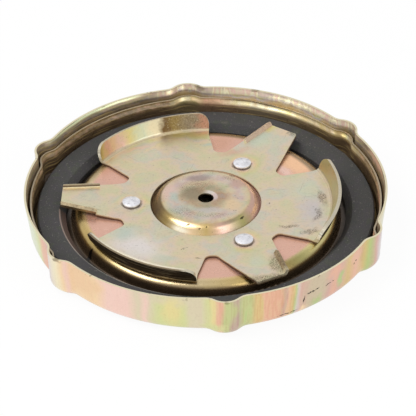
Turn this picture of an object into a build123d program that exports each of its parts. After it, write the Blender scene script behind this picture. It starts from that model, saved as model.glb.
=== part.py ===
from build123d import *
import os
from cmath import rect
from math import atan2, cos, degrees, hypot, radians, sin, sqrt, tan

# Vented bayonet cap for a fuel tank's filler neck, lying on its outer face.
#
# The frame is in millimetres. The origin is the middle of the outer face, and +Z, the cap's axis,
# points into the tank. Angles are in degrees about +Z, from +X. One rivet lies on -X, with a
# locking arm in line with it.

os.makedirs("parts", exist_ok=True)

# Sheet thicknesses
cover_sheet = 0.6
cup_sheet = 0.5
plate_sheet = 1.0
baffle_sheet = 0.8

# Outer cover, measured on its outside. Its radius follows from what lies inside it.
skirt_height = 13.3
skirt_corner = 4.4
wall_lean = 3.5            # of the skirt and the inner cup's wall, outwards, from upright
rim_bow = 0.7              # the free rim stands out this much midway between two lobes
lobe_count = 6
lobe_angle = 36.0          # angle of one grip lobe
lobe_rise = 2.5
lobe_crest = 5.5           # radius across the lobe
lobe_root = 4.2            # radius of the hollow on each side of the lobe
recess_radius = 31.0       # shallow recess in the outer face
recess_depth = 0.8
recess_slope = 2.0
recess_round = 1.6

# Inner cup, nested in the cover on pressed feet, measured on its upper and outer side
wall_gap = 0.2             # between the cup's wall and the skirt
cup_edge_height = 10.2
cup_corner = 1.6
cup_lobe_rise = 1.8
foot_count = 6
foot_height = 1.9
foot_radius = 2.0          # flat sole of a foot, welded to the cover
foot_slope = 1.0
pan_radius = 39.0
pan_rise = 4.2
pan_draft = 0.5
pan_shoulder = 3.0
pan_foot = 0.8
dome_rise = 3.0
dome_base_radius = 15.9
dome_top_radius = 13.7
dome_shoulder = 3.0
dome_foot = 0.4
vent_radius = 2.3
dimple_radius = 4.0
dimple_depth = 0.35

# Gasket
gasket_gap = 1.8           # between the pan's foot and the gasket
gasket_width = 8.4
gasket_thickness = 3.5
gasket_edge = 0.4
gasket_bevel = 1.9         # round the hole, so that the arms clear the seat

# Bayonet plate, measured on its upper side. Paired angles are those of the right and the left
# edge of an arm, seen from the axis, from the radius through the arm's rivet.
arm_count = 3
arm_angle = 60.0
hole_gap = 0.3             # between the dome's foot and the plate's hole
hub_radius = 25.6          # where arms and sectors part
notch_round = 1.9
arm_root = (-23.2, 16.8)
arm_tip = (-10.0, 3.5)
arm_radius = 42.5
arm_corner = 0.6
arm_bend_radius = 27.5     # from here outwards the arm rises
arm_lift = 1.2
sector_root = (-30.4, 24.0)
sector_edge = (-34.4, 28.2)
flange_radius = 36.8       # where flange and plate would meet without the bend
flange_lean = 20.0         # outwards, from upright
flange_height = 4.8
flange_bend = 1.2
flange_round = 3.4
lip_root_radius = 32.5
lead_in_width = 1.9
lead_in_angle = 58.0
stop_width = 1.8
stop_angle = 68.0
stop_arm = 1               # the arm that lies on -X

# Rivets, baffle and filter
rivet_circle = 21.7
rivet_shank = 1.6
rivet_clearance = 0.05
rivet_head_radius = 2.6
rivet_head_height = 1.3
rivet_head_edge = 0.7
rivet_tail_radius = 2.4
rivet_tail_height = 0.9
baffle_radius = 26.0
baffle_hole_circle = 9.0
baffle_hole_radius = 1.5
filter_radius = 18.0

# Levels and radii that follow from the sizes above
recess_floor = cover_sheet + recess_depth
cup_underside = cover_sheet + foot_height
cup_floor = cup_underside + cup_sheet
pan_top = cup_floor + pan_rise
dome_top = pan_top + dome_rise
plate_top = pan_top + plate_sheet
baffle_top = pan_top - cup_sheet
baffle_underside = baffle_top - baffle_sheet
gasket_inner_radius = pan_radius + gasket_gap
gasket_outer_radius = gasket_inner_radius + gasket_width
foot_circle = (gasket_inner_radius + gasket_outer_radius) / 2
cup_radius = gasket_outer_radius + cup_corner
skirt_radius = cup_radius + wall_gap + cover_sheet
flange_start = flange_radius - 2 * flange_bend


def at(radius, angle, height=0.0):
    """Point at a radius and an angle about Z."""
    place = rect(radius, radians(angle))
    return Vector(place.real, place.imag, height)


def ring_of(count, radius, angle):
    """Locations on a circle about Z, each turned to face outwards."""
    return [Rot(0, 0, angle + step * 360 / count) * Pos(radius, 0, 0) for step in range(count)]


def rod(radius, low, high):
    """Cylinder on Z between two heights."""
    return Pos(0, 0, low) * Cylinder(radius, high - low, align=(Align.CENTER, Align.CENTER, Align.MIN))


def turned(points):
    """Solid about Z from the corners of its half section, as (radius, height)."""
    return revolve(Plane.XZ * make_face(Polyline(*points, close=True)), Axis.Z)


def drawn_sheet(points, rounds, sheet, arc=360):
    """Sheet metal about Z from the corners of its upper side, from the axis outwards."""
    upper = Wire(FilletPolyline(*points, radius=rounds).edges())
    section = Plane.XZ * Face(upper.offset_2d(sheet, side=Side.RIGHT))
    return revolve(section, Axis.Z, revolution_arc=arc)


def lobed_face(height, radius, rise, crest, root, bow):
    """Level face: stretches that bow out between their ends, joined by rounded lobes.

    The arcs are worked out for a lobe on the real axis, as complex numbers, and turned into place.
    """
    pitch = radians(360 / lobe_count)
    reach = radius + bow
    shift = (reach**2 - radius**2) / (2 * (reach - radius * cos(pitch / 2)))
    stretch_centre = rect(shift, pitch / 2)
    stretch_radius = reach - shift
    crest_centre = complex(radius + rise - crest, 0)

    # The hollow beside the lobe touches both the stretch and the crest
    far = stretch_radius + root
    near = crest + root
    span = abs(crest_centre - stretch_centre)
    along = (far**2 - near**2 + span**2) / (2 * span)
    line = (crest_centre - stretch_centre) / span
    centres = [stretch_centre + line * complex(along, side * sqrt(far**2 - along**2)) for side in (1, -1)]
    hollow_centre = max(centres, key=lambda centre: centre.imag)
    on_stretch = stretch_centre + (hollow_centre - stretch_centre) * stretch_radius / far
    on_crest = crest_centre + (hollow_centre - crest_centre) * crest / near
    inward = (on_stretch + on_crest) / 2 - hollow_centre
    in_hollow = hollow_centre + inward / abs(inward) * root
    tip = complex(radius + rise, 0)
    midway = rect(reach, pitch / 2)

    edges = []
    following = rect(1, pitch)
    for step in range(lobe_count):
        turn = rect(1, radians(lobe_angle) + step * pitch)
        arcs = [
            (on_crest.conjugate(), tip, on_crest),
            (on_crest, in_hollow, on_stretch),
            (on_stretch, midway, on_stretch.conjugate() * following),
            (on_stretch.conjugate() * following, in_hollow.conjugate() * following,
             on_crest.conjugate() * following),
        ]
        for arc in arcs:
            points = [point * turn for point in arc]
            edges.append(ThreePointArc(*[(point.real, point.imag, height) for point in points]))
    return Face(Wire(edges))


def lobed_form(radius, floor, top, bow_height, corner, rise, crest, root, bow, steps=5):
    """Solid with lobes down its side and a rounded lower edge, bowed out fully at bow_height."""
    lower = []
    for step in range(steps + 1):
        angle = radians(90 * step / steps)
        level = floor + corner * (1 - cos(angle))
        lower.append(lobed_face(level, radius - corner * (1 - sin(angle)), rise, crest, root, 0))
    side_floor = floor + corner
    top_bow = bow * (top - side_floor) / (bow_height - side_floor)
    top_radius = radius + (top - side_floor) * tan(radians(wall_lean))
    side = [lobed_face(side_floor, radius, rise, crest, root, 0),
            lobed_face(top, top_radius, rise, crest, root, top_bow)]
    return loft(lower) + loft(side, ruled=True)


def lobed_cup(sheet, radius, floor, top, corner, rise, bow):
    """Open cup of one sheet thickness, between two lobed forms."""
    outside = lobed_form(radius, floor, top, top, corner, rise, lobe_crest, lobe_root, bow)
    inside = lobed_form(radius - sheet, floor + sheet, top + sheet, top, corner - sheet, rise,
                        lobe_crest - sheet, lobe_root + sheet, bow)
    return outside - inside


def make_outer_cover():
    """Cup with grip lobes. The middle of its outer face is pressed in a little."""
    cup = lobed_cup(cover_sheet, skirt_radius, 0, skirt_height, skirt_corner, lobe_rise, rim_bow)
    middle_radius = recess_radius + 2 * recess_round
    inside = [
        (0, recess_floor),
        (recess_radius - recess_slope, recess_floor),
        (recess_radius, cover_sheet),
        (middle_radius, cover_sheet),
    ]
    return cup - rod(middle_radius, 0, cover_sheet) + drawn_sheet(inside, recess_round, cover_sheet)


def make_inner_cup():
    """Cup whose middle is drawn up into a pan and a dome, on pressed feet."""
    cup = lobed_cup(cup_sheet, cup_radius, cup_underside, cup_edge_height, cup_corner, cup_lobe_rise, 0)
    dimple_floor = dome_top - dimple_depth
    drawn = [
        (0, dimple_floor),
        (vent_radius, dimple_floor),
        (dimple_radius, dome_top),
        (dome_top_radius, dome_top),
        (dome_base_radius, pan_top),
        (pan_radius - pan_draft, pan_top),
        (pan_radius, cup_floor),
        (gasket_inner_radius, cup_floor),
    ]
    rounds = [dimple_depth, dimple_depth, dome_shoulder, dome_foot, pan_shoulder, pan_foot]
    cup = cup - rod(gasket_inner_radius, cup_underside, cup_floor) + drawn_sheet(drawn, rounds, cup_sheet)

    foot = turned([
        (0, cover_sheet),
        (foot_radius, cover_sheet),
        (foot_radius + foot_slope, cup_underside),
        (foot_radius + foot_slope, cup_floor),
        (0, cup_floor),
    ])
    hollow = turned([
        (0, cover_sheet + cup_sheet),
        (foot_radius - cup_sheet / 2, cover_sheet + cup_sheet),
        (foot_radius + foot_slope - cup_sheet / 2, cup_floor),
        (0, cup_floor),
    ])
    feet = ring_of(foot_count, foot_circle, lobe_angle + 180 / lobe_count)
    cup = cup + [place * foot for place in feet] - [place * hollow for place in feet]
    rivet_holes = [place * rod(rivet_shank + rivet_clearance, baffle_top, pan_top)
                   for place in ring_of(arm_count, rivet_circle, arm_angle)]
    return cup - rivet_holes - rod(vent_radius, baffle_top, dome_top)


def make_gasket():
    """Flat rubber ring on the cup's floor, bevelled round its hole."""
    top = cup_floor + gasket_thickness
    ring = rod(gasket_outer_radius, cup_floor, top) - rod(gasket_inner_radius, cup_floor, top)
    ring = chamfer(ring.edges().filter_by(GeomType.CIRCLE).sort_by(SortBy.RADIUS)[:2].sort_by(Axis.Z)[-1],
                   gasket_bevel)
    return chamfer(ring.edges().filter_by(GeomType.CIRCLE).sort_by(SortBy.RADIUS)[-2:], gasket_edge)


def plate_outline():
    """Blank of the bayonet plate, flat, with its first arm along +X.

    Outside the flanges' start the sectors run on, and are trimmed by the caller.
    """
    corners = []
    rounds = []
    for step in range(arm_count):
        arm = step * 360 / arm_count
        corners += [
            at(2 * flange_radius, arm + sector_edge[0]),
            at(flange_start, arm + sector_edge[0]),
            at(hub_radius, arm + sector_root[0]),
            at(hub_radius, arm + arm_root[0]),
            at(arm_radius, arm + arm_tip[0]),
            at(arm_radius, arm + arm_tip[1]),
            at(hub_radius, arm + arm_root[1]),
            at(hub_radius, arm + sector_root[1]),
            at(flange_start, arm + sector_edge[1]),
            at(2 * flange_radius, arm + sector_edge[1]),
        ]
        rounds += [0, 0, notch_round, notch_round, arm_corner]
        rounds += [arm_corner, notch_round, notch_round, 0, 0]
    return make_face(FilletPolyline(*corners, radius=rounds, close=True))


def point_at(radius, start, end):
    """Point at a radius about Z, on the line from start to end and between them."""
    step = end - start
    half = start.dot(step) / step.length**2
    rest = (start.length**2 - radius**2) / step.length**2
    return start + step * (sqrt(half**2 - rest) - half)


def with_lip(arm, root, tip, outward, width, angle):
    """Arm with a lip folded up along its edge from root to tip. From above the edge stays in place."""
    run = cos(radians(angle))
    rise = sin(radians(angle))
    mitre = plate_sheet * tan(radians(angle / 2))
    length = (tip - root).length
    fold = Plane(root - outward * width * run, x_dir=outward, z_dir=tip - root)
    up = fold.y_dir.Z
    section = Polyline(
        (-2 * plate_sheet, 0),
        (0, 0),
        (width * run, up * width * rise),
        (width * run - plate_sheet * rise, up * (width * rise + plate_sheet * run)),
        (-mitre, up * plate_sheet),
        (-2 * plate_sheet, up * plate_sheet),
        close=True,
    )
    waste = Polyline((0, 0), (2 * width, 0), (2 * width, up * plate_sheet), (0, up * plate_sheet), close=True)
    lip = extrude(fold * make_face(section), length + width, dir=tip - root)
    return arm - extrude(fold * make_face(waste), length + width, dir=tip - root) + lip


def make_arm(outline, with_stop):
    """Outer end of an arm along +X, with its lips, rising from its root."""
    lane = Pos(arm_bend_radius + arm_radius, 0) * Rectangle(2 * arm_radius, hub_radius)
    blank = outline & lane
    arm = extrude(blank, plate_sheet)

    right, left = [at(arm_radius, angle) for angle in arm_tip]
    right_root, left_root = [at(hub_radius, angle) for angle in arm_root]
    lip_root = point_at(lip_root_radius, left_root, left)
    outward = Vector(0, 0, 1).cross(left - left_root).normalized()
    arm = with_lip(arm, lip_root, left, outward, lead_in_width, lead_in_angle)
    if with_stop:
        lip_root = point_at(lip_root_radius, right_root, right)
        outward = (right - right_root).cross(Vector(0, 0, 1)).normalized()
        arm = with_lip(arm, lip_root, right, outward, stop_width, stop_angle)
    arm = arm & extrude(blank, 3 * plate_sheet)
    slope = degrees(atan2(arm_lift, arm_radius - arm_bend_radius))
    return arm.rotate(Axis((arm_bend_radius, 0, 0), (0, 1, 0)), -slope)


def make_flange():
    """Guide flange between two arms, from its bend outwards, starting at the sector's edge."""
    inside = [
        (flange_start, plate_sheet),
        (flange_radius, plate_sheet),
        (flange_radius + flange_height * tan(radians(flange_lean)), plate_sheet + flange_height),
    ]
    arc = 360 / arm_count + sector_edge[0] - sector_edge[1]
    flange = drawn_sheet(inside, flange_bend, plate_sheet, arc)
    corners = flange.edges().filter_by(GeomType.LINE).sort_by(Axis.Z)[-2:]
    return Rot(0, 0, sector_edge[1]) * fillet(corners, flange_round)


def make_bayonet_plate():
    """Plate with three rising arms and three flanged sectors, round the dome."""
    outline = plate_outline()
    arms = ring_of(arm_count, 0, 0)
    lane = Pos(arm_bend_radius + arm_radius, 0) * Rectangle(2 * arm_radius, hub_radius)
    hub = (outline & Circle(flange_start)) - [place * lane for place in arms]
    hub = hub - Circle(dome_base_radius + hole_gap)
    plate = extrude(hub, plate_sheet)
    for step, place in enumerate(arms):
        plate = plate + place * make_arm(outline, step == stop_arm) + place * make_flange()
    hole = rod(rivet_shank + rivet_clearance, 0, plate_sheet)
    plate = plate - [place * hole for place in ring_of(arm_count, rivet_circle, 0)]
    return Pos(0, 0, pan_top) * Rot(0, 0, arm_angle) * plate


def make_rivet():
    """Round headed rivet on Z, through plate, pan and baffle, closed by a flat tail."""
    side = rivet_head_height - rivet_head_edge
    curve = hypot(rivet_head_radius, side)**2 / (2 * side)
    head = rod(rivet_head_radius, plate_top, plate_top + rivet_head_height)
    head = head & Pos(0, 0, plate_top + rivet_head_height - curve) * Sphere(curve)
    tail = rod(rivet_tail_radius, baffle_underside - rivet_tail_height, baffle_underside)
    return head + rod(rivet_shank, baffle_underside, plate_top) + tail


def make_baffle_plate():
    """Disc under the pan. Its holes lie clear of the vent hole above them."""
    disc = rod(baffle_radius, baffle_underside, baffle_top)
    rivet_hole = rod(rivet_shank + rivet_clearance, baffle_underside, baffle_top)
    vent_hole = rod(baffle_hole_radius, baffle_underside, baffle_top)
    holes = [place * rivet_hole for place in ring_of(arm_count, rivet_circle, arm_angle)]
    holes += [place * vent_hole for place in ring_of(arm_count, baffle_hole_circle, 0)]
    return disc - holes


def make_vent_filter():
    """Felt disc, held between the cover's recess and the baffle."""
    return rod(filter_radius, recess_floor, baffle_underside)


rear, left, front = [place * make_rivet() for place in ring_of(arm_count, rivet_circle, arm_angle)]
pieces = {
    "outer_cover": make_outer_cover(),
    "inner_cup": make_inner_cup(),
    "gasket": make_gasket(),
    "bayonet_plate": make_bayonet_plate(),
    "rivet_rear": rear,
    "rivet_left": left,
    "rivet_front": front,
    "baffle_plate": make_baffle_plate(),
    "vent_filter": make_vent_filter(),
}
for name, piece in pieces.items():
    export_step(piece, f"parts/{name}.step")
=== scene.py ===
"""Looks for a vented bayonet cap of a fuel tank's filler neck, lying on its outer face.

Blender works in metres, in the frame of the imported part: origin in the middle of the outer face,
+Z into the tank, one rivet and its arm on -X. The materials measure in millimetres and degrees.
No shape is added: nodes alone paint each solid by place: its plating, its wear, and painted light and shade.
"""
import math
import bpy
from mathutils import Matrix, Vector

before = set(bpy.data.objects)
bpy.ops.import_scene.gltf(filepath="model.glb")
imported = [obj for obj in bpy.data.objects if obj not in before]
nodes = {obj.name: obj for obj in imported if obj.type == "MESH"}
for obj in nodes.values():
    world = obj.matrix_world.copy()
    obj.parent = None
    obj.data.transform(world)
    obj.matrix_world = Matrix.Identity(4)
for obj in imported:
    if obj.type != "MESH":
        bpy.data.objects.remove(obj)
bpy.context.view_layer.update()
scene = bpy.context.scene

# Sizes of the solids that the materials follow, in mm and degrees: heights, and radii from the axis
RIM_TOP = 13.3
CUP_EDGE = 10.2
PLATE_TOP = 8.2
PLATE_UNDERSIDE = 7.2
SKIRT_EDGE = 46.0          # inner end of the skirt's rounded lower edge
GASKET_RADIUS = 49.2
GASKET_BEVEL = 42.7        # from here outwards the gasket is level
PAN_RADIUS = 39.0
PAN_FLAT = 36.0            # the pan is level up to here
DOME_RADIUS = 15.9
DOME_FLAT = 13.7
RIVET_CIRCLE = 21.7
ARM_COUNT = 3
ARM_ANGLE = 60
ARM_RADIUS = 42.5
ARM_BEND = 27.5            # from here outwards the arm rises
ARM_LIFT = 1.2
FLANGE_RADIUS = 36.8
FLANGE_CREST = 39.0        # middle of the flange's top edge


def place_camera():
    """Camera in front of the cap and above it, turned a little about its own axis."""
    distance = 1.040
    elevation = math.radians(36.552)
    roll = math.radians(-0.672)
    data = bpy.data.cameras.new("camera")
    data.sensor_width = 36.0
    data.lens = 307.53
    data.shift_x = 0.00447
    data.shift_y = 0.04106
    data.clip_start = 0.01
    data.clip_end = 20.0
    camera = bpy.data.objects.new("camera", data)
    scene.collection.objects.link(camera)
    right = Vector((1, 0, 0))
    up = Vector((0, math.sin(elevation), math.cos(elevation)))
    back = Vector((0, -math.cos(elevation), math.sin(elevation)))
    x = right * math.cos(roll) + up * math.sin(roll)
    y = up * math.cos(roll) - right * math.sin(roll)
    turn = Matrix((x, y, back)).transposed().to_4x4()
    camera.matrix_world = Matrix.Translation(back * distance) @ turn
    scene.camera = camera


def rgb(colour):
    """Linear colour from one written as it should look on the screen, 0 to 1."""
    return tuple(c / 12.92 if c <= 0.04045 else ((c + 0.055) / 1.055) ** 2.4 for c in colour) + (1.0,)


class Tree:
    """Node tree of a material or world. An input is given a value or another socket."""

    def __init__(self, owner):
        owner.use_nodes = True
        self.tree = owner.node_tree
        self.tree.nodes.clear()

    def set(self, node, key, value):
        if isinstance(value, bpy.types.NodeSocket):
            self.tree.links.new(value, node.inputs[key])
        else:
            node.inputs[key].default_value = value

    def add(self, kind, inputs=None, **settings):
        node = self.tree.nodes.new(kind)
        for name, value in settings.items():
            setattr(node, name, value)
        for key, value in (inputs or {}).items():
            self.set(node, key, value)
        return node

    def finish(self, shader):
        self.add("ShaderNodeOutputMaterial", {0: shader.outputs[0]})

    # Numbers

    def math(self, operation, *values, clamp=False):
        return self.add("ShaderNodeMath", dict(enumerate(values)), operation=operation,
                        use_clamp=clamp).outputs[0]

    def times(self, first, *others):
        """Product of several numbers."""
        for other in others:
            first = self.math("MULTIPLY", first, other)
        return first

    def most(self, first, *others):
        """Greatest of several numbers."""
        for other in others:
            first = self.math("MAXIMUM", first, other)
        return first

    def line(self, value, slope, start):
        """Start plus slope times the value."""
        return self.math("MULTIPLY_ADD", value, slope, start)

    def absolute(self, value):
        return self.math("ABSOLUTE", value)

    def without(self, value):
        """1 minus a number."""
        return self.math("SUBTRACT", 1.0, value)

    def span(self, value, low, high, start=0.0, end=1.0):
        """Runs softly from start to end while the value goes from low to high."""
        return self.add("ShaderNodeMapRange", {0: value, 1: low, 2: high, 3: start, 4: end},
                        interpolation_type="SMOOTHSTEP").outputs[0]

    def band(self, value, low, high, soft):
        """1 between low and high, 0 outside, with soft ends."""
        return self.times(self.span(value, low - soft, low + soft),
                          self.span(value, high - soft, high + soft, 1.0, 0.0))

    # Places

    def vector(self, operation, *values):
        """Vector math. The result is a number for a length or a dot product."""
        node = self.add("ShaderNodeVectorMath", dict(enumerate(values)), operation=operation)
        return node.outputs["Value" if operation in ("LENGTH", "DOT_PRODUCT") else "Vector"]

    def join(self, x, y, z=0.0):
        return self.add("ShaderNodeCombineXYZ", {0: x, 1: y, 2: z}).outputs[0]

    def split(self, vector):
        return self.add("ShaderNodeSeparateXYZ", {0: vector}).outputs

    def stretch(self, place, scale, turn=0.0):
        """Coordinates turned about Z and then scaled along each axis."""
        turned = self.add("ShaderNodeVectorRotate", {"Vector": place, "Angle": math.radians(-turn)},
                          rotation_type="Z_AXIS").outputs[0]
        return self.vector("MULTIPLY", turned, scale)

    def wobble(self, place, size, amount):
        """Coordinates pushed about by noise, so that outlines drawn with them aren't even."""
        shift = self.noise(place, size, output=1)
        shift = self.vector("SUBTRACT", shift, (0.5, 0.5, 0.5))
        return self.vector("MULTIPLY_ADD", shift, (2 * amount, 2 * amount, 0), place)

    # Patterns

    def noise(self, place, size, detail=2.0, roughness=0.5, output=0):
        """Noise whose patches are about so many millimetres apart."""
        return self.add("ShaderNodeTexNoise", {"Vector": place, "Scale": 1.0 / size, "Detail": detail,
                                               "Roughness": roughness}).outputs[output]

    def spread(self, value, contrast):
        """Noise spread round its middle, within 0 to 1."""
        return self.math("MULTIPLY_ADD", self.math("SUBTRACT", value, 0.5), contrast, 0.5, clamp=True)

    def mark(self, place, centre, size, turn=0.0, soft=0.7):
        """1 in the middle of an ellipse in the XY plane of the coordinates, 0 outside it."""
        inside = self.add("ShaderNodeMapping", {"Vector": place, "Location": centre + (0,),
                                                "Rotation": (0, 0, math.radians(turn)), "Scale": size + (1,)},
                          vector_type="TEXTURE").outputs[0]
        return self.span(self.vector("LENGTH", inside), 1 - soft, 1, 1.0, 0.0)

    def marks(self, place, ellipses, soft=0.7):
        """The strongest of several marks, each given as (centre, size, turn)."""
        return self.most(*[self.mark(place, *ellipse, soft=soft) for ellipse in ellipses])

    # Colours

    def blend(self, factor, first, second, kind="MIX"):
        """Colour mixed from two colours."""
        node = self.add("ShaderNodeMix", data_type="RGBA", blend_type=kind)
        for key, value in ((0, factor), (6, first), (7, second)):
            self.set(node, key, rgb(value) if isinstance(value, tuple) else value)
        return node.outputs[2]

    def paint(self, colour, where, tone, strength=1.0):
        """Colour with a tone laid over it where a number is 1."""
        return self.blend(self.times(where, strength), colour, tone)

    def patches(self, colour, place, table, soft=0.7):
        """Colour with soft patches, each given as (centre, size, turn, strength, tone)."""
        for centre, size, turn, strength, tone in table:
            colour = self.paint(colour, self.mark(place, centre, size, turn, soft), tone, strength)
        return colour

    def ramp(self, factor, *stops):
        """Colour ramp from (place, colour) stops."""
        node = self.add("ShaderNodeValToRGB", {0: factor})
        elements = node.color_ramp.elements
        while len(elements) < len(stops):
            elements.new(0.5)
        for element, (place, colour) in zip(elements, stops):
            element.position = place
            element.color = rgb(colour)
        return node.outputs[0]

    def scale(self, value, *stops):
        """Colour ramp whose places are given in the value's own unit."""
        start = stops[0][0]
        length = stops[-1][0] - start
        part = self.math("DIVIDE", self.math("SUBTRACT", value, start), length)
        return self.ramp(part, *[((place - start) / length, colour) for place, colour in stops])


class Surface(Tree):
    """Material tree with the coordinates that the surfaces of the cap are painted in."""

    def __init__(self, name):
        self.material = bpy.data.materials.new(name)
        super().__init__(self.material)
        here = self.add("ShaderNodeTexCoord").outputs
        self.place = self.vector("MULTIPLY", here["Object"], (1000, 1000, 1000))
        x, y, self.height = self.split(self.place)
        self.flat = self.join(x, y)
        self.radius = self.vector("LENGTH", self.flat)
        self.angle = self.math("DEGREES", self.math("ARCTAN2", y, x))
        self.upward = self.split(here["Normal"])[2]
        self.outward = self.vector("DOT_PRODUCT", here["Normal"], self.vector("NORMALIZE", self.flat))

    def drawn(self, height):
        """Place with its height scaled: below 1, noise on a wall is drawn out upwards."""
        return self.stretch(self.place, (1, 1, height))

    def unrolled(self, width=1.0):
        """A wall laid out flat: its angle in degrees, times a width, and its height."""
        return self.join(self.times(self.angle, width), self.height)

    def uneven_height(self, amount):
        """Height raised by slow noise, so that what follows it isn't level."""
        return self.line(self.noise(self.drawn(0.2), 9.0, 1.0), amount, self.height)

    def cosine(self, degrees):
        return self.math("COSINE", self.math("RADIANS", degrees))

    def by_angle(self, *stops):
        """Colours by the angle about the axis, from (degrees, colour) stops within 0 to 360."""
        turn = self.math("FRACT", self.math("DIVIDE", self.angle, 360))
        return self.ramp(turn, *[(degrees / 360, colour) for degrees, colour in stops])

    def stretches(self, table):
        """Parts of the full circle, each given as (from, to, softness, strength), in degrees."""
        return self.most(*[self.times(self.band(self.angle, start, end, soft), strength)
                           for start, end, soft, strength in table])

    def mottle(self, noise, contrast, *stops):
        """Colours of a ramp, spread by noise."""
        return self.ramp(self.spread(noise, contrast), *stops)

    def specks(self, colour, strength):
        """Colour broken up by fine darker specks, as on plating seen close."""
        shade = self.mottle(self.noise(self.place, 0.65, 3.0, 0.6), 2.0, (0.0, (0.80, 0.77, 0.72)),
                            (0.4, (0.97, 0.97, 0.96)), (0.7, (1.0, 1.0, 1.0)))
        return self.blend(strength, colour, shade, "MULTIPLY")

    def grain(self, fine, waves):
        """Relief of rolled and plated sheet: a fine grain on slow waves, each with its height."""
        grain = self.times(self.noise(self.place, 0.35, 3.0, 0.6), fine)
        return self.line(self.noise(self.place, 7.0, 1.0), waves, grain)

    def shade(self, colour, roughness, relief, **settings):
        """Finish with one shader. The relief is a height in millimetres."""
        bump = self.add("ShaderNodeBump", {"Strength": 1.0, "Distance": 0.001, "Height": relief})
        shader = self.add("ShaderNodeBsdfPrincipled", {"Base Color": colour, "Roughness": roughness,
                                                       "Normal": bump.outputs[0]})
        for name, value in settings.items():
            self.set(shader, name.replace("_", " "), value)
        self.finish(shader)
        return self.material


def make_stage():
    """White floor that shows the cap's shadow, and a plain white sky."""
    reach = 6.0
    drop = 0.00002
    floor_white = 0.93
    sky_strength = 0.75
    floor_mesh = bpy.data.meshes.new("floor")
    floor_mesh.from_pydata([(-reach, -reach, 0), (reach, -reach, 0), (reach, reach, 0), (-reach, reach, 0)],
                           [], [(0, 1, 2, 3)])
    floor = bpy.data.objects.new("floor", floor_mesh)
    scene.collection.objects.link(floor)
    floor.location.z = -drop
    material = bpy.data.materials.new("floor")
    tree = Tree(material)
    path = tree.add("ShaderNodeLightPath").outputs
    seen = tree.most(path["Is Camera Ray"], path["Is Glossy Ray"], path["Is Transmission Ray"])
    lit = tree.add("ShaderNodeBsdfDiffuse", {"Color": rgb((0.92, 0.92, 0.92))})
    white = tree.add("ShaderNodeEmission", {"Color": (1, 1, 1, 1), "Strength": 1.0})
    top = tree.add("ShaderNodeMixShader", {0: tree.times(seen, floor_white), 1: lit.outputs[0],
                                           2: white.outputs[0]})
    clear = tree.add("ShaderNodeBsdfTransparent")
    below = tree.add("ShaderNodeNewGeometry").outputs["Backfacing"]
    tree.finish(tree.add("ShaderNodeMixShader", {0: below, 1: top.outputs[0], 2: clear.outputs[0]}))
    floor_mesh.materials.append(material)

    world = bpy.data.worlds.new("world")
    scene.world = world
    tree = Tree(world)
    sky = tree.add("ShaderNodeBackground", {"Color": (1, 1, 1, 1), "Strength": sky_strength})
    tree.add("ShaderNodeOutputWorld", {0: sky.outputs[0]})


def add_lamp(name, place, width, power):
    """Soft square lamp, aimed at the cap."""
    data = bpy.data.lights.new(name, "AREA")
    data.shape = "RECTANGLE"
    data.size = width
    data.size_y = width
    data.energy = power
    lamp = bpy.data.objects.new(name, data)
    scene.collection.objects.link(lamp)
    lamp.location = place
    lamp.rotation_euler = (-Vector(place)).to_track_quat("-Z", "Y").to_euler()


# Colours of the yellow passivated zinc and its wear, and of highlights painted on it, as they look on the
# screen
MINT = (0.87, 0.90, 0.80)
KHAKI = (0.88, 0.84, 0.72)
LIME = (0.85, 0.87, 0.63)
GREEN = (0.72, 0.80, 0.54)
OLIVE = (0.70, 0.68, 0.45)
CREAM = (0.97, 0.93, 0.80)
YELLOW = (0.92, 0.87, 0.62)
GOLD = (0.86, 0.75, 0.50)
PEACH = (0.98, 0.86, 0.70)
PINK = (0.97, 0.83, 0.78)
SALMON = (0.92, 0.72, 0.62)
APRICOT = (0.96, 0.82, 0.66)
TANGERINE = (1.0, 0.81, 0.65)
BLUSH = (0.88, 0.71, 0.65)
CORAL = (0.91, 0.70, 0.59)
RUST = (0.84, 0.64, 0.53)
ROSE = (0.85, 0.70, 0.65)
LILAC = (0.86, 0.83, 0.84)
MAUVE = (0.70, 0.62, 0.60)
PEARL = (0.97, 0.94, 0.93)
BLUE = (0.79, 0.85, 0.80)
SAND = (0.82, 0.76, 0.65)
TAN = (0.66, 0.60, 0.50)
TAN_DARK = (0.42, 0.34, 0.25)
HONEY = (0.66, 0.57, 0.36)
STRAW = (0.90, 0.87, 0.77)
GOLD_HIGHLIGHT = (1.0, 0.98, 0.90)
BUFF = (0.88, 0.80, 0.64)
BRONZE = (0.50, 0.40, 0.27)
MAHOGANY = (0.46, 0.31, 0.22)
BROWN = (0.30, 0.24, 0.18)
SMOKE = (0.22, 0.18, 0.14)
SOOT = (0.13, 0.11, 0.09)
BARE_EDGE_HIGHLIGHT = (0.93, 0.91, 0.93)
SAND_ROSE = (0.92, 0.83, 0.76)
DUSK_ROSE = (0.87, 0.74, 0.69)

# Colours on the rubber and the felt, and painted highlights on the rubber
DUST = (0.62, 0.60, 0.56)
RUBBER_HIGHLIGHT = (0.66, 0.64, 0.60)
CLAY_HIGHLIGHT = (0.72, 0.62, 0.57)
UMBER = (0.40, 0.30, 0.25)
GREIGE = (0.45, 0.42, 0.35)

# Ramps of the film, the bright zinc, the rubber and the felt
FILM = ((0.0, KHAKI), (0.2, LIME), (0.33, YELLOW), (0.46, PEACH), (0.58, PINK), (0.7, LILAC), (0.82, BLUE),
        (0.92, MINT), (1.0, KHAKI))
ZINC = ((0.0, (0.70, 0.70, 0.72)), (0.35, (0.86, 0.86, 0.88)), (1.0, (0.96, 0.96, 0.98)))
RUBBER = ((0.0, (0.20, 0.21, 0.22)), (0.35, (0.24, 0.24, 0.23)), (0.6, (0.25, 0.24, 0.25)),
          (0.8, (0.25, 0.26, 0.23)), (1.0, (0.31, 0.30, 0.28)))
FELT = ((0.0, (0.55, 0.50, 0.40)), (0.6, (0.70, 0.67, 0.58)), (1.0, (0.76, 0.74, 0.67)))
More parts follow.
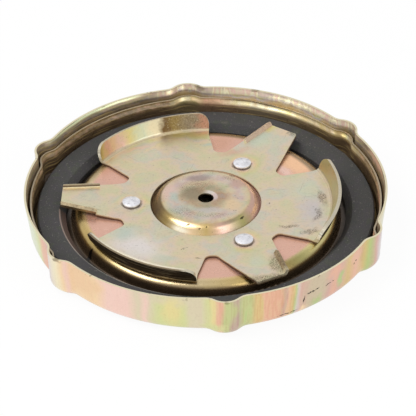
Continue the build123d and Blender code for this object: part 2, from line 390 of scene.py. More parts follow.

# Film on the skirt: angle and colour, over half a turn, used twice; the cream at 217.5 degrees is a painted
# highlight on a lobe
SKIRT = ((180, KHAKI), (190, MINT), (198, MINT), (203, LIME), (206.5, SALMON), (210, ROSE), (213, LILAC),
         (217.5, CREAM), (219.5, PEACH), (220.5, PINK), (222.5, APRICOT), (229, APRICOT), (233, PEACH),
         (237, PINK), (244, PINK), (248, KHAKI), (250.5, PINK), (252, KHAKI), (255, LIME), (262, LIME),
         (264.5, KHAKI), (268, KHAKI), (270.5, LIME), (271.2, YELLOW), (272.4, YELLOW), (273, SALMON),
         (274.5, SALMON), (275.3, GREEN), (277, GREEN), (278.2, MAUVE), (280, MAUVE), (281, GREEN),
         (283.5, GREEN), (285, GOLD), (286.8, GOLD), (287.8, SALMON), (288.5, CORAL), (293, CORAL),
         (294.3, RUST), (295, MAUVE), (295.8, SALMON), (298, GOLD), (298.8, GREEN), (299.8, LILAC),
         (300.8, ROSE), (304, SAND), (309, SAND), (311.5, ROSE), (314, SALMON), (316.5, ROSE), (321, GOLD),
         (325, SALMON), (330, GOLD), (332, GREEN), (334, ROSE), (336, LILAC), (343, KHAKI), (352, MINT),
         (360, KHAKI))

# Patches on the unrolled skirt: centre, size, turn, strength and colour
SKIRT_PATCHES = (
    ((-102, 4), (8, 6), 0, 1.0, LIME), ((-101, 12), (12, 3.5), 0, 1.0, KHAKI),
    ((-133, 2.5), (7, 5), 0, 1.0, PEACH), ((-128, 9.5), (6, 4), 0, 1.0, APRICOT),
    ((-101, 8), (5, 9), 0, 1.0, YELLOW), ((-152, 6), (5, 8), 0, 1.0, SALMON),
    ((-43, 7.5), (2.5, 4), 0, 1.0, GREEN), ((-53, 3.2), (3.5, 2.5), 0, 1.0, GREEN),
    ((-58, 3), (2, 2), 0, 1.0, PEACH), ((-46, 11.5), (5, 3), 0, 1.0, SALMON),
    ((-82.5, 10), (3, 6), 0, 1.0, GREEN), ((-35, 11), (5, 3), 0, 1.0, SALMON),
    ((-88, 3), (6, 2.5), 0, 1.0, LIME))

# Parts of the skirt whose inside shows lines from drawing, in degrees: from, to, softness and strength
SKIRT_LINED = ((-15, 36, 6, 1.0), (120, 178, 8, 1.0))

# Marks on the unrolled skirt: centre, size and turn
RIM_WEAR = (
    ((91.5, 12.6), (2.2, 1.2), 0), ((73, 12.9), (2, 0.7), 0), ((24, 12.5), (3, 0.8), 0),
    ((-142, 12.9), (1.6, 0.6), 0))
SKIRT_SCRATCHES = (
    ((-55.6, 8.0), (1.9, 0.5), 4), ((-53.2, 8.3), (1.0, 0.22), 12), ((-48.8, 7.8), (1.6, 0.2), 5),
    ((-46.6, 8.1), (0.7, 0.15), 0), ((-58.2, 6.3), (0.3, 1.7), -12), ((-64, 3.0), (4.6, 0.3), 3),
    ((-36.4, 8.8), (0.4, 0.5), 30), ((-35.4, 9.3), (0.35, 0.4), 0))


def skirt_film(s):
    """Outside of the skirt: bands of film by angle, with soft patches and streaks."""
    uneven = s.noise(s.drawn(0.5), 7.0, 2.0)
    half_turn = s.line(uneven, 0.024, s.math("DIVIDE", s.angle, 180))
    half_turn = s.math("FRACT", s.math("SUBTRACT", half_turn, 0.012))
    stops = [((angle - 180) / 180, colour) for angle, colour in SKIRT]
    middle = len(stops) // 2
    colour = s.blend(s.math("GREATER_THAN", half_turn, stops[middle][0]),
                     s.ramp(half_turn, *stops[:middle + 1]), s.ramp(half_turn, *stops[middle:]))
    colour = s.patches(colour, s.wobble(s.unrolled(), 4.0, 2.5), SKIRT_PATCHES, 0.9)
    streaks = s.mottle(s.noise(s.drawn(0.03), 0.7, 2.0), 2.0, (0.0, GOLD), (0.35, SALMON), (0.6, PEACH),
                       (1.0, LIME))
    colour = s.blend(s.line(s.band(s.angle, -88, -60, 5), 0.22, 0.06), colour, streaks)
    return s.specks(colour, 0.2)


def skirt_inside(s, lit):
    """Inside of the skirt: dull and painted darker lower down, with layers of film at the back, painted light
    where it is lit.
    """
    layers = s.spread(s.noise(s.drawn(0.6), 4.0, 3.0, 0.5), 2.0)
    layers = s.span(s.line(layers, 2.6, s.height), RIM_TOP - 3.8, RIM_TOP + 3.7)
    colour = s.ramp(layers, (0.0, GOLD), (0.2, BUFF), (0.35, LILAC), (0.48, LIME), (0.6, KHAKI), (0.72, PINK),
                    (0.85, CREAM), (1.0, CREAM))
    unrolled = s.unrolled()
    # Painted lit side: the back and two spots keep the pale film, elsewhere the wall is painted dull brown
    bright = s.most(s.mark(unrolled, (66, 12), (38, 30)),
                    s.times(s.mark(unrolled, (97, 13), (7, 6), soft=0.8), 0.8),
                    s.times(s.mark(unrolled, (-5, 12.5), (7, 4), soft=0.8), 0.4))
    # Dull brown with random tone, painted darker towards the bottom as shade
    sheen = s.spread(s.noise(s.stretch(unrolled, (0.3, 1, 1), 12), 1.6, 4.0, 0.6), 1.8)
    sheen = s.line(s.span(s.height, RIM_TOP - 4.3, RIM_TOP - 0.3), 0.35, s.math("SUBTRACT", sheen, 0.42))
    dull = s.ramp(sheen, (0.0, BROWN), (0.5, BRONZE), (0.85, HONEY), (1.0, GOLD))
    colour = s.blend(s.line(bright, -0.85, 0.85), colour, dull)
    colour = s.specks(colour, 0.6)
    # Painted highlight where the wall's top is lit, mint and lime on the left
    gleam = s.mottle(s.noise(s.drawn(0.3), 4.5, 2.0), 2.4, (0.0, SAND), (0.15, ROSE), (0.3, KHAKI),
                     (0.42, ROSE), (0.52, BUFF), (0.57, CREAM), (0.62, SAND), (0.8, MAUVE), (1.0, SAND))
    gleam = s.blend(s.span(s.angle, 108, 114), gleam, s.blend(0.5, MINT, LIME))
    colour = s.blend(lit, colour, gleam)
    lines = s.span(s.noise(s.unrolled(0.03), 0.5, 2.0), 0.54, 0.66)
    colour = s.paint(colour, s.times(lines, s.stretches(SKIRT_LINED)), GOLD, 0.45)
    right = s.mark(s.wobble(unrolled, 3.0, 2.0), (14, 12.2), (12, 2.2), soft=0.9)
    return s.paint(colour, right, RUST, 0.6)


def outer_face(s):
    """Face that the cap lies on: faint film, scratches both ways, and wear where it stood."""
    colour = s.blend(0.5, s.mottle(s.noise(s.place, 30.0, 1.0), 1.6, *FILM), KHAKI)
    along = s.span(s.noise(s.stretch(s.place, (0.08, 1, 1), 30), 0.7, 2.0), 0.62, 0.72)
    across = s.span(s.noise(s.stretch(s.place, (0.08, 1, 1), 105), 0.7, 2.0), 0.64, 0.74)
    rubbed = s.times(s.most(along, across), s.span(s.noise(s.place, 12.0), 0.4, 0.6))
    colour = s.paint(colour, rubbed, MAUVE, 0.25)
    stood = s.times(s.band(s.radius, 33.5, 46.5, 1.5), s.span(s.noise(s.place, 1.2, 4.0, 0.65), 0.50, 0.66))
    colour = s.paint(colour, stood, TAN, 0.3)
    return s.specks(colour, 0.4)


def cover_zinc():
    """Outer cover: bands of film down the skirt, worn on the rim, scratched on the right, with painted light
    and shade.
    """
    s = Surface("cover_zinc")
    uneven = s.uneven_height(0.9)
    # Where the wall's top gets a painted highlight and mirrors more: the back and the left
    rear = s.times(s.band(s.angle, 32, 106, 6), s.span(uneven, RIM_TOP - 2.9, RIM_TOP - 0.9, 0.0, 0.72))
    left = s.times(s.band(s.angle, 112, 150, 6), s.span(uneven, RIM_TOP - 0.7, RIM_TOP + 0.1))
    lit = s.most(rear, left)
    inside = s.span(s.outward, -0.1, -0.3)
    colour = s.blend(inside, skirt_film(s), skirt_inside(s, lit))
    bottom = s.times(s.span(s.upward, -0.6, -0.9), s.span(s.height, 3, 1.5))
    colour = s.blend(bottom, colour, outer_face(s))

    # Painted highlight: the rim's top face in pale cream
    rim = s.times(s.span(s.height, RIM_TOP - 0.25, RIM_TOP - 0.1), s.span(s.upward, 0.4, 0.8))
    colour = s.blend(rim, colour, CREAM)
    wear = s.span(s.noise(s.place, 2.2, 4.0, 0.65), 0.60, 0.70)
    wear = s.times(wear, s.span(s.height, RIM_TOP - 1.4, RIM_TOP), 0.5)
    worn = s.times(s.marks(s.wobble(s.unrolled(), 1.5, 0.8), RIM_WEAR, 0.6), 0.6)
    wear = s.most(wear, worn)
    colour = s.blend(wear, colour, TAN_DARK)
    # Painted contact shadow along the skirt's bottom edge, broken by noise
    painted_contact_shade = s.times(s.band(s.height, 0.2, 1.3, 0.4), s.span(s.noise(s.place, 5.0, 3.0), 0.4, 0.6, 0.15, 0.6),
                   s.span(s.radius, SKIRT_EDGE - 1, SKIRT_EDGE + 1))
    colour = s.blend(painted_contact_shade, colour, MAUVE)
    scratch = s.marks(s.wobble(s.unrolled(), 1.2, 0.5), SKIRT_SCRATCHES, 0.5)
    scratch = s.times(scratch, s.span(s.noise(s.place, 0.6, 2.0), 0.36, 0.48))
    colour = s.paint(colour, scratch, SOOT, 0.9)

    relief = s.math("ADD", s.grain(0.005, 0.10), s.times(s.noise(s.drawn(0.04), 0.6), 0.012))
    # Tips the wall's upper part to the sky, which it would otherwise not mirror
    rolled = s.times(inside, s.span(uneven, RIM_TOP - 1.8, RIM_TOP + 0.8))
    relief = s.line(scratch, -0.05, s.line(rolled, -1.0, relief))
    roughness = s.line(s.noise(s.place, 4.0, 3.0), 0.16, 0.24)
    roughness = s.line(s.most(scratch, wear), 0.3, roughness)
    dull = s.times(inside, s.line(lit, -0.7, 0.75))
    return s.shade(colour, roughness, relief, Metallic=s.without(dull))


# Film and dark tones of the inner cup, by radius; the browns from 38.2 mm out, where the pan's wall falls
# into the groove, are painted shade
CUP_RINGS = ((2.1, SOOT), (2.5, TAN), (5.0, TAN), (7.5, KHAKI), (10.5, LILAC), (12.2, KHAKI), (13.8, GOLD),
             (15.4, BRONZE), (16.2, TAN), (17.0, SALMON), (34.6, SALMON), (35.6, GOLD), (36.6, HONEY),
             (37.4, HONEY), (38.2, TAN_DARK), (39.2, BROWN), (41, SMOKE), (48.5, BROWN), (50.0, GOLD))

# Parts of the wall that mirror the sky and get a painted highlight, in degrees: from, to, softness and
# strength
CUP_LIT = ((57, 82, 6, 1.0), (94, 99, 1.5, 0.6), (26, 57, 5, 0.35), (35.5, 38.5, 1.2, 0.9))

# Patches seen from above: centre, size, turn, strength and colour
DOME_PATCHES = (
    ((-10.5, 3.0), (3.5, 5.5), 0, 0.75, PINK), ((-9.2, 0.4), (2.0, 3.5), 0, 0.8, BLUE),
    ((8.0, -4.0), (4.0, 4.0), 0, 0.8, PEACH), ((9.5, 6.5), (4.0, 3.5), 0, 0.8, ROSE),
    ((-2.0, 9.5), (5.0, 2.2), 0, 0.8, MAUVE), ((-4.0, 1.5), (5.5, 4.5), 0, 0.85, TAN),
    ((1.0, -6.5), (7.0, 2.2), 0, 0.6, LILAC), ((-6.5, -5.5), (5.5, 3.0), 0, 0.5, BLUE))
PAN_PATCHES = (
    ((27, 21), (7, 10), 40, 1.0, TANGERINE), ((23, 17), (2, 5), 40, 0.7, PINK),
    ((-31, 9), (5, 6), 40, 0.5, ROSE), ((4, 31), (7, 5), 40, 0.55, RUST))

# Marks seen from above: centre, size and turn
DOME_SCUFFS = (
    ((-6.0, -7.5), (7.5, 3.0), -25), ((-3.0, 5.5), (7.0, 4.0), 15), ((2.5, -9.0), (6.0, 1.6), 5),
    ((7.0, 9.0), (3.0, 1.5), -30))
DOME_SCRATCHES = (
    ((10.4, -9.5), (0.28, 1.1), -40), ((-5.2, -12.8), (0.8, 0.2), 10), ((-1.8, -14.2), (0.6, 0.2), -5),
    ((0.2, -13.9), (0.4, 0.2), 0), ((7.8, 10.4), (1.1, 0.25), -15))


def dome_film(s, colour, loose):
    """Dome: patches and scuffs on top, painted light and shade round its side, a painted highlight at the
    front left.
    """
    mottle = s.mottle(s.noise(s.place, 4.0, 3.0), 2.2, (0.0, GREEN), (0.3, KHAKI), (0.5, PEACH),
                      (0.75, SALMON), (1.0, LILAC))
    colour = s.paint(colour, s.span(s.radius, DOME_FLAT - 0.2, DOME_FLAT - 1.2), mottle, 0.4)
    colour = s.patches(colour, loose, DOME_PATCHES)
    scuffs = s.times(s.marks(loose, DOME_SCUFFS), s.span(s.noise(s.place, 0.3, 3.0, 0.7), 0.48, 0.6))
    colour = s.paint(colour, scuffs, TAN_DARK, 0.6)
    # Side by angle: film tones with painted shade, brown on the left, and a painted highlight in buff and
    # peach at the front left
    side = s.by_angle((0, ROSE), (43.2, SALMON), (108, BRONZE), (162, BRONZE), (198, TAN_DARK),
                      (219.6, HONEY), (234, BUFF), (252, PEACH), (270, GOLD), (288, ROSE), (302.4, TAN),
                      (316.8, OLIVE), (334.8, ROSE), (360, ROSE))
    colour = s.paint(colour, s.band(s.radius, DOME_FLAT - 0.7, DOME_RADIUS + 0.4, 0.4), side, 0.9)
    # Painted highlight low on the front left of the side
    gleam = s.mark(s.join(s.angle, s.radius), (-120, DOME_RADIUS - 0.7), (14, 0.9), soft=0.8)
    return s.paint(colour, gleam, GOLD_HIGHLIGHT, 0.8)


def pan_film(s, colour, loose, flat):
    """Pan: pink and orange film on the level part, gold round the shoulder with painted light and shade."""
    mottle = s.mottle(s.noise(s.place, 2.5, 4.0, 0.6), 1.8, (0.0, ROSE), (0.3, BLUSH), (0.7, BLUSH),
                      (1.0, PINK))
    colour = s.paint(colour, flat, mottle, 0.6)
    colour = s.patches(colour, loose, PAN_PATCHES)
    # Shoulder by angle: painted light in buff at the front left where the highlight falls, painted shade in
    # bronze at the back
    shoulder = s.by_angle((0, YELLOW), (14.4, TAN), (54, BRONZE), (144, BRONZE), (162, BUFF), (198, GOLD),
                          (216, HONEY), (237.6, BUFF), (266.4, BUFF), (284.4, GOLD), (306, HONEY),
                          (316.8, OLIVE), (327.6, YELLOW), (360, YELLOW))
    return s.paint(colour, s.band(s.radius, PAN_FLAT - 0.8, PAN_RADIUS - 1, 0.7), shoulder, 0.85)


def cup_wall(s, lit):
    """Inner cup's wall: painted shade in brown towards the gasket, painted highlight in gold where it is lit.
    """
    # Tones by angle; the cream at 68 to 74 degrees is a painted highlight
    colour = s.by_angle((0, BRONZE), (32.4, BRONZE), (46.8, HONEY), (57.6, BUFF), (68.4, CREAM),
                        (73.8, CREAM), (81, TANGERINE), (90, RUST), (93.6, YELLOW), (99, YELLOW),
                        (102.6, BRONZE), (324, BRONZE), (352.8, RUST), (360, BRONZE))
    unrolled = s.unrolled()
    mottle = s.mottle(s.noise(s.stretch(unrolled, (0.5, 1, 1), 20), 1.5, 4.0, 0.65), 2.4, (0.0, BROWN),
                      (0.3, BRONZE), (0.5, HONEY), (0.75, RUST), (1.0, PEACH))
    colour = s.blend(0.4, colour, mottle)
    # Painted shade, darker towards the gasket
    colour = s.blend(s.span(s.height, CUP_EDGE - 0.8, CUP_EDGE - 3.4, 0.0, 0.9), colour, BROWN)
    # Painted highlight where the wall's top is lit
    gleam = s.mottle(s.noise(s.drawn(0.3), 5.0, 2.0), 2.4, (0.0, GOLD), (0.25, YELLOW), (0.5, CREAM),
                     (0.7, BUFF), (0.85, TANGERINE), (1.0, YELLOW))
    colour = s.blend(lit, colour, gleam)
    right = s.mark(s.wobble(unrolled, 3.0, 1.5), (0, 8), (10, 2.4), soft=0.9)
    colour = s.paint(colour, right, RUST, 0.7)
    lines = s.span(s.noise(s.unrolled(0.03), 0.4, 2.0), 0.54, 0.66)
    return s.paint(colour, lines, GOLD, 0.35)


def cup_zinc():
    """Inner cup: dome, pan, groove and wall each have their own film, dirt, painted light and shade, by
    radius.
    """
    s = Surface("cup_zinc")
    loose = s.wobble(s.flat, 3.0, 1.2)
    uneven = s.noise(s.place, 3.0, 3.0)
    colour = s.scale(s.line(s.math("SUBTRACT", uneven, 0.5), 1.6, s.radius), *CUP_RINGS)
    # Bare cut edge of the vent hole, painted bright on its back right side only as a highlight
    vent_edge_highlight = s.times(s.band(s.radius, 2.2, 3.5, 0.25),
                        s.mark(s.flat, (2.6, 2.0), (4.5, 4.0), 40, soft=0.6))
    colour = s.blend(vent_edge_highlight, colour, BARE_EDGE_HIGHLIGHT)
    colour = dome_film(s, colour, loose)
    pan = s.band(s.radius, DOME_RADIUS + 0.7, PAN_FLAT, 0.6)
    colour = pan_film(s, colour, loose, pan)

    tilt = s.uneven_height(0.8)
    # Where the wall's top gets a painted highlight and mirrors more
    lit = s.times(s.stretches(CUP_LIT), s.span(tilt, CUP_EDGE - 1.9, CUP_EDGE - 1.0))
    wall = s.span(s.radius, GASKET_RADIUS + 0.2, GASKET_RADIUS + 0.7)
    colour = s.blend(wall, colour, cup_wall(s, lit))
    edge = s.times(wall, s.span(s.height, CUP_EDGE - 0.3, CUP_EDGE - 0.1), s.span(s.upward, 0.4, 0.8))
    colour = s.blend(edge, colour, TAN)

    spots = s.times(s.span(s.noise(s.place, 0.8, 3.0, 0.6), 0.66, 0.72),
                    s.span(s.radius, GASKET_RADIUS - 0.2, GASKET_RADIUS - 1.2, 0.0, 0.5))
    colour = s.specks(s.blend(spots, colour, BROWN), 0.35)
    scratch = s.marks(s.wobble(s.flat, 0.8, 0.3), DOME_SCRATCHES, 0.5)
    colour = s.paint(colour, scratch, SOOT, 0.85)
    # A small black spot in the groove by the gasket
    dark_spot = s.mark(s.wobble(s.flat, 1.5, 0.5), (-33.6, -19.7), (1.3, 0.8), 30, soft=0.4)
    colour = s.blend(dark_spot, colour, SOOT)

    relief = s.line(scratch, -0.04, s.grain(0.005, 0.08))
    # Tips the wall's upper part to the sky, as on the cover
    rolled = s.times(wall, s.span(tilt, CUP_EDGE - 1.8, CUP_EDGE + 0.2))
    relief = s.line(rolled, -1.0, relief)
    shoulder = s.band(s.radius, PAN_FLAT - 1, PAN_RADIUS + 0.5, 0.8)
    roughness = s.line(shoulder, -0.03, s.line(uneven, 0.2, 0.2))
    grooves = s.most(s.span(s.radius, PAN_RADIUS - 1, PAN_RADIUS + 0.5),
                     s.band(s.radius, DOME_RADIUS - 0.7, DOME_RADIUS + 1.6, 0.5))
    dull = s.line(grooves, 0.6, s.times(wall, s.line(lit, -0.9, 0.35)))
    dull = s.line(pan, 0.3, dull)
    return s.shade(colour, roughness, relief, Metallic=s.without(dull))


# Patches seen from above: centre, size, turn, strength and colour
PLATE_PATCHES = (
    ((16, 31), (5, 6), -30, 0.6, BLUE), ((17, 30), (6, 7), -30, 0.6, MINT),
    ((19.5, 35.5), (3, 2.5), 0, 0.95, YELLOW), ((24, 33), (3, 3), 0, 0.5, PEACH),
    ((8, 25), (7, 2.5), 20, 0.6, SALMON), ((-5, 34.0), (10, 2.6), 3, 0.9, YELLOW),
    ((0, 33), (6, 2), 3, 0.8, LIME), ((1, 29), (3, 1.5), 0, 0.7, BLUE),
    ((-18, 29), (9, 2.4), 28, 0.8, LILAC), ((-20, 27.6), (7, 1.2), 30, 0.8, PINK),
    ((-26, 23), (3, 8), -35, 0.5, MINT), ((28, 6), (8, 9), 0, 0.5, MINT),
    ((-26, -6), (6, 5), 0, 0.5, PINK), ((-22, -13), (6, 4), 0, 0.6, BLUE),
    ((31, -5), (5.5, 10), 0, 0.85, LILAC), ((-20, -21), (14, 9), -40, 0.9, PEARL),
    ((-34, 0), (9, 5), 0, 0.6, STRAW), ((-24, -15), (5, 4), 0, 0.6, BLUE),
    ((-11, -27), (5, 3), 0, 0.5, BLUE), ((14, -30), (4, 5), 0, 0.6, MINT),
    ((-3, -26), (8, 3), -10, 0.35, PEACH))

# Marks seen from above: centre, size and turn
PLATE_GRIME = (
    ((34.2, 1.5), (1.5, 5), 12), ((32.5, -7), (1.5, 4.5), -15), ((30, -14.5), (4, 1.5), 15),
    ((24, -12.5), (3.5, 1.2), 10), ((17, -38), (7, 3.2), 10), ((20.5, -31), (3.4, 7), 18),
    ((23.5, -30.5), (1.6, 5), 20), ((12.5, -38.5), (2.2, 1.8), 0), ((27, 34), (2.5, 4), -30),
    ((-35, -3), (5, 1.0), 0), ((13, 33), (1.5, 2), 0))
PLATE_SMUDGES = (
    ((-6.7, -22.4), (1.0, 0.5), 20), ((-5.6, -21.6), (0.4, 0.4), 0), ((-2.4, -26.8), (1.4, 0.3), -10),
    ((18.5, -0.8), (0.35, 0.4), 0), ((-30.5, -7.4), (1.5, 0.2), -8), ((-27.5, -8.3), (0.8, 0.2), -8),
    ((33.6, 0.5), (0.4, 1.8), -15), ((31.8, -4.2), (0.3, 1.2), -20), ((-20, -20.5), (0.6, 0.25), 0))


def from_rivet(s):
    """Distance from the axis of the nearest rivet, made a little uneven."""
    sector = 360 / ARM_COUNT
    folded = s.line(s.angle, 1 / sector, 1.0)
    folded = s.absolute(s.math("SUBTRACT", s.math("FRACT", folded), 0.5))
    across = s.times(s.radius, s.cosine(s.times(folded, sector)))
    square = s.line(s.radius, s.radius, s.line(across, -2 * RIVET_CIRCLE, RIVET_CIRCLE ** 2))
    return s.line(s.math("SUBTRACT", s.noise(s.place, 4.0), 0.5), 2.5, s.math("SQRT", square))


def plate_film(s, loose, away):
    """Level part of the plate: straw colour with faint film, rings of it round the rivets."""
    colour = s.blend(0.32, STRAW, s.mottle(s.noise(s.place, 9.0, 4.0), 2.6, *FILM))
    fine = s.mottle(s.noise(s.place, 2.5, 3.0), 2.4, (0.0, LIME), (0.3, KHAKI), (0.6, PEACH), (1.0, LILAC))
    colour = s.blend(0.14, colour, fine)
    colour = s.patches(colour, loose, PLATE_PATCHES, 0.9)
    halo = s.scale(away, (3.0, PINK), (3.6, PEACH), (4.5, YELLOW), (5.6, LIME), (7.0, KHAKI))
    part = s.span(s.noise(s.place, 6.0), 0.35, 0.6, 0.2, 0.85)
    return s.blend(s.times(s.span(away, 3.4, 7.5, 1.0, 0.0), part), colour, halo)


def flange_film(s, colour, flange):
    """Guide flanges: the rear one's painted sheen and sanded end inside, drawn lines outside."""
    inner = s.times(flange, s.span(s.outward, -0.5, -0.8))
    ragged = s.line(s.math("SUBTRACT", s.noise(s.place, 3.0, 2.0), 0.5), 9, s.angle)
    # Painted reflection by angle over film tones: rust and bronze on the right, a cream highlight near 111 to
    # 115 degrees
    sheen = s.scale(ragged, (91.5, RUST), (95.4, TAN), (104.5, HONEY), (108.4, BRONZE), (111, CREAM),
                    (114.9, CREAM), (120.1, MINT), (126.6, YELLOW), (131.8, PINK), (135.7, APRICOT),
                    (139.6, SALMON), (142.85, GOLD), (146.75, HONEY))
    colour = s.paint(colour, inner, OLIVE, 0.6)
    colour = s.blend(s.times(inner, s.band(s.angle, 80, 158, 3)), colour, sheen)
    grit = s.noise(s.place, 0.42, 2.0, 0.7)
    sanded = s.times(inner, s.band(s.angle, 84, 108, 3))
    colour = s.blend(s.times(sanded, s.span(grit, 0.56, 0.72, 0.0, 0.5)), colour, CREAM)
    colour = s.blend(s.times(sanded, s.span(grit, 0.46, 0.32, 0.0, 0.5)), colour, BROWN)
    outer = s.times(flange, s.span(s.outward, 0.5, 0.8))
    lines = s.ramp(s.noise(s.unrolled(0.04), 0.5, 2.0), (0.38, BROWN), (0.46, TAN_DARK), (0.52, BRONZE),
                   (0.58, TAN), (0.64, KHAKI))
    return s.paint(colour, outer, lines, 0.9)


def lip_tones(s, above):
    """Colours of the arms' lips: one for each arm, and by height on the left arm, with painted light and
    shade.
    """
    worn = s.spread(s.noise(s.place, 1.0, 4.0, 0.7), 2.4)
    spotted = s.spread(s.noise(s.place, 0.8, 3.0, 0.6), 4.0)
    rear_arm = s.blend(worn, SAND_ROSE, DUSK_ROSE)
    # Front arm: dark brown with buff specks, partly painted shade, cream near the tip
    front_arm = s.blend(s.span(s.radius, ARM_RADIUS - 3, ARM_RADIUS - 1),
                        s.blend(spotted, MAHOGANY, BUFF), CREAM)
    # Left arm's rear lip by height: painted highlight along the bend, painted shade on its face, pale top
    # edge
    left_rear = s.ramp(s.math("SUBTRACT", above, 1.0), (0.0, BUFF), (0.2, CREAM), (0.32, CREAM),
                       (0.42, TAN_DARK), (0.7, TAN_DARK), (0.85, TAN))
    left_front = s.blend(worn, BROWN, BUFF)
    tones = s.blend(s.math("GREATER_THAN", s.angle, 130), rear_arm, left_rear)
    tones = s.blend(s.math("LESS_THAN", s.angle, -120), tones, left_front)
    return s.blend(s.band(s.angle, -119, 0, 0.5), tones, front_arm)


def plate_grime(s, where):
    """Dirt rubbed into the plate in fine dots, with smudges and specks."""
    fine = s.noise(s.place, 0.27, 3.0, 0.7)
    grime = s.times(where, s.span(fine, 0.45, 0.58))
    smudges = s.times(s.marks(s.wobble(s.flat, 0.7, 0.4), PLATE_SMUDGES), s.span(fine, 0.42, 0.58))
    specks = s.times(s.span(s.noise(s.place, 0.8, 2.0), 0.70, 0.75), 0.4)
    return s.most(grime, smudges, specks)


def light_scratches(s):
    """Fine scratches in three directions."""
    scratches = []
    for turn in (12, 74, 141):
        lines = s.noise(s.stretch(s.place, (0.05, 1, 1), turn), 0.45, 1.0)
        scratches.append(s.span(lines, 0.68, 0.76))
    return s.times(s.most(*scratches), s.span(s.noise(s.place, 9.0), 0.45, 0.6))


def plate_zinc():
    """Bayonet plate: pale khaki with faint patches, brown cut edges and scuffs from use."""
    s = Surface("plate_zinc")
    loose = s.wobble(s.flat, 4.0, 2.0)
    away = from_rivet(s)
    level = s.absolute(s.upward)
    slope = s.absolute(s.outward)
    steep = s.span(level, 0.34, 0.30)
    spoke = s.cosine(s.times(s.math("SUBTRACT", s.angle, ARM_ANGLE), ARM_COUNT))
    on_arm = s.span(spoke, 0.3, 0.4)
    flange = s.times(s.span(spoke, 0.4, 0.3), s.span(s.radius, FLANGE_RADIUS - 0.2, FLANGE_RADIUS + 0.2))
    colour = flange_film(s, plate_film(s, loose, away), flange)

    lift = s.add("ShaderNodeMapRange", {0: s.radius, 1: ARM_BEND, 2: ARM_RADIUS}).outputs[0]
    above = s.line(s.times(lift, on_arm), -ARM_LIFT, s.math("SUBTRACT", s.height, PLATE_UNDERSIDE))
    cut = s.times(steep, s.span(slope, 0.75, 0.65))
    cut = s.most(cut, s.times(steep, s.span(s.radius, FLANGE_RADIUS - 0.2, FLANGE_RADIUS - 0.6)))
    colour = s.blend(cut, colour, s.ramp(above, (0.0, BROWN), (0.4, MAHOGANY), (0.6, TAN), (0.8, KHAKI)))
    tip = s.times(steep, s.span(s.radius, ARM_RADIUS - 0.9, ARM_RADIUS - 0.6))
    colour = s.blend(tip, colour, s.ramp(above, (0.0, TAN_DARK), (0.35, TAN), (0.6, KHAKI)))
    # Painted highlight along the flanges' top edge, with a brown mark on the front one
    crest = s.times(flange, s.span(s.height, PLATE_TOP + 0.9, PLATE_TOP + 1.1), s.span(slope, 0.7, 0.6))
    dark = s.times(s.span(s.angle, -98, -102), s.span(s.radius, FLANGE_CREST - 0.05, FLANGE_CREST + 0.05))
    colour = s.blend(crest, colour, s.blend(dark, GOLD_HIGHLIGHT, BROWN))

    lip = s.times(on_arm, s.span(level, 0.93, 0.85), s.span(s.radius, ARM_BEND + 2.5, ARM_BEND + 3.5),
                  s.without(steep))
    fading = s.most(s.span(s.radius, ARM_BEND + 4, ARM_BEND + 6.5), s.math("LESS_THAN", s.angle, 168))
    colour = s.paint(colour, s.times(lip, fading), lip_tones(s, above), 0.9)

    used = s.marks(loose, PLATE_GRIME)
    colour = s.paint(colour, s.times(used, s.spread(s.noise(s.place, 1.0, 4.0, 0.7), 2.4)), BRONZE, 0.3)
    grime = plate_grime(s, used)
    colour = s.paint(colour, grime, BROWN, 0.75)
    # Painted shade on the bends, which dims their highlight
    bent = s.band(level, 0.5, 0.97, 0.02)
    colour = s.paint(colour, bent, TAN, 0.5)
    # Painted contact shade: a thin dark ring round each rivet
    colour = s.paint(colour, s.band(away, 2.0, 3.0, 0.2), BROWN, 0.5)
    scratches = light_scratches(s)
    colour = s.specks(s.paint(colour, scratches, TAN_DARK, 0.2), 0.3)

    relief = s.line(scratches, -0.01, s.grain(0.008, 0.05))
    dull = s.most(cut, grime, lip, s.times(bent, s.without(flange)))
    roughness = s.line(dull, 0.3, s.line(s.noise(s.place, 3.0, 3.0), 0.2, 0.26))
    return s.shade(colour, roughness, relief, Metallic=s.line(s.most(cut, tip), -0.5, 1.0))


def rivet_steel():
    """Bright zinc on the rivets, smudged with grey, with painted shade where they meet the plate."""
    s = Surface("rivet_steel")
    smudges = s.spread(s.noise(s.place, 1.3, 4.0, 0.65), 2.2)
    colour = s.ramp(smudges, *ZINC)
    colour = s.paint(colour, s.span(s.noise(s.place, 0.5, 2.0), 0.60, 0.7), MAUVE, 0.4)
    # Painted contact shade low on the rivets' sides
    painted_contact_shade = s.times(s.span(s.height, PLATE_TOP + 0.7, PLATE_TOP + 0.1), s.span(s.upward, 0.5, 0.1))
    colour = s.paint(colour, painted_contact_shade, BROWN, 0.85)
    roughness = s.line(smudges, -0.12, 0.46)
    return s.shade(colour, roughness, s.grain(0.01, 0.05), Metallic=s.line(painted_contact_shade, -0.3, 0.6))


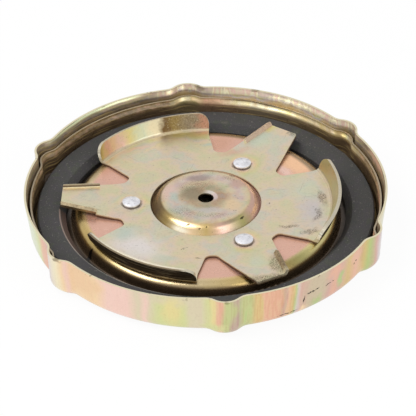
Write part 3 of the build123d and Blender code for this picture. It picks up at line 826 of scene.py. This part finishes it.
def gasket_rubber():
    """Matte black rubber with dust and faint patches, with painted highlights at the left on its bevel."""
    s = Surface("gasket_rubber")
    patches = s.spread(s.noise(s.place, 5.0, 4.0, 0.6), 2.0)
    colour = s.ramp(patches, *RUBBER)
    colour = s.paint(colour, s.span(s.noise(s.place, 0.45, 2.0), 0.66, 0.74), DUST, 0.45)
    colour = s.paint(colour, s.span(s.noise(s.place, 0.25, 1.0), 0.5, 0.8), DUST, 0.12)
    # Painted highlight along the bevel's edge at the front left
    rubbed = s.times(s.band(s.radius, GASKET_BEVEL - 0.2, GASKET_BEVEL + 0.1, 0.15),
                     s.span(s.noise(s.place, 4.0), 0.25, 0.5), s.band(s.angle, -158, -105, 8))
    colour = s.paint(colour, rubbed, RUBBER_HIGHLIGHT, 0.8)
    left = s.band(s.angle, -186, -150, 6)
    # Painted pinkish highlight along the bevel's edge on the left; brown on the bevel below it
    edge = s.times(s.band(s.radius, GASKET_BEVEL - 0.3, GASKET_BEVEL + 0.1, 0.2), left)
    colour = s.paint(colour, edge, CLAY_HIGHLIGHT, 0.6)
    bevel = s.times(s.span(s.radius, GASKET_BEVEL - 0.3, GASKET_BEVEL - 0.7), left)
    colour = s.paint(colour, bevel, UMBER, 0.6)
    relief = s.line(s.noise(s.place, 0.5, 3.0, 0.7), 0.05, s.grain(0.02, 0.10))
    return s.shade(colour, s.line(patches, 0.2, 0.62), relief, Specular_IOR_Level=0.35)


def filter_felt():
    """Off-white wool felt, stained by vapour."""
    s = Surface("filter_felt")
    fibres = s.noise(s.place, 0.3, 4.0, 0.8)
    colour = s.mottle(s.noise(s.place, 7.0, 3.0), 1.8, *FELT)
    colour = s.blend(s.span(fibres, 0.35, 0.65, 0.35, 0.0), colour, GREIGE)
    return s.shade(colour, 0.95, s.times(fibres, 0.25), Sheen_Weight=0.3)


def dress(material, *names):
    for name in names:
        for slot in nodes[name].material_slots:
            slot.material = material


place_camera()
make_stage()
add_lamp("key", (-0.55, -0.15, 0.85), 0.6, 5.0)
add_lamp("fill", (0.6, -0.5, 0.6), 0.6, 2.0)
scene.view_settings.view_transform = "Standard"

dress(cover_zinc(), "outer_cover")
dress(cup_zinc(), "inner_cup")
dress(plate_zinc(), "bayonet_plate", "baffle_plate")
dress(rivet_steel(), "rivet_left", "rivet_rear", "rivet_front")
dress(gasket_rubber(), "gasket")
dress(filter_felt(), "vent_filter")
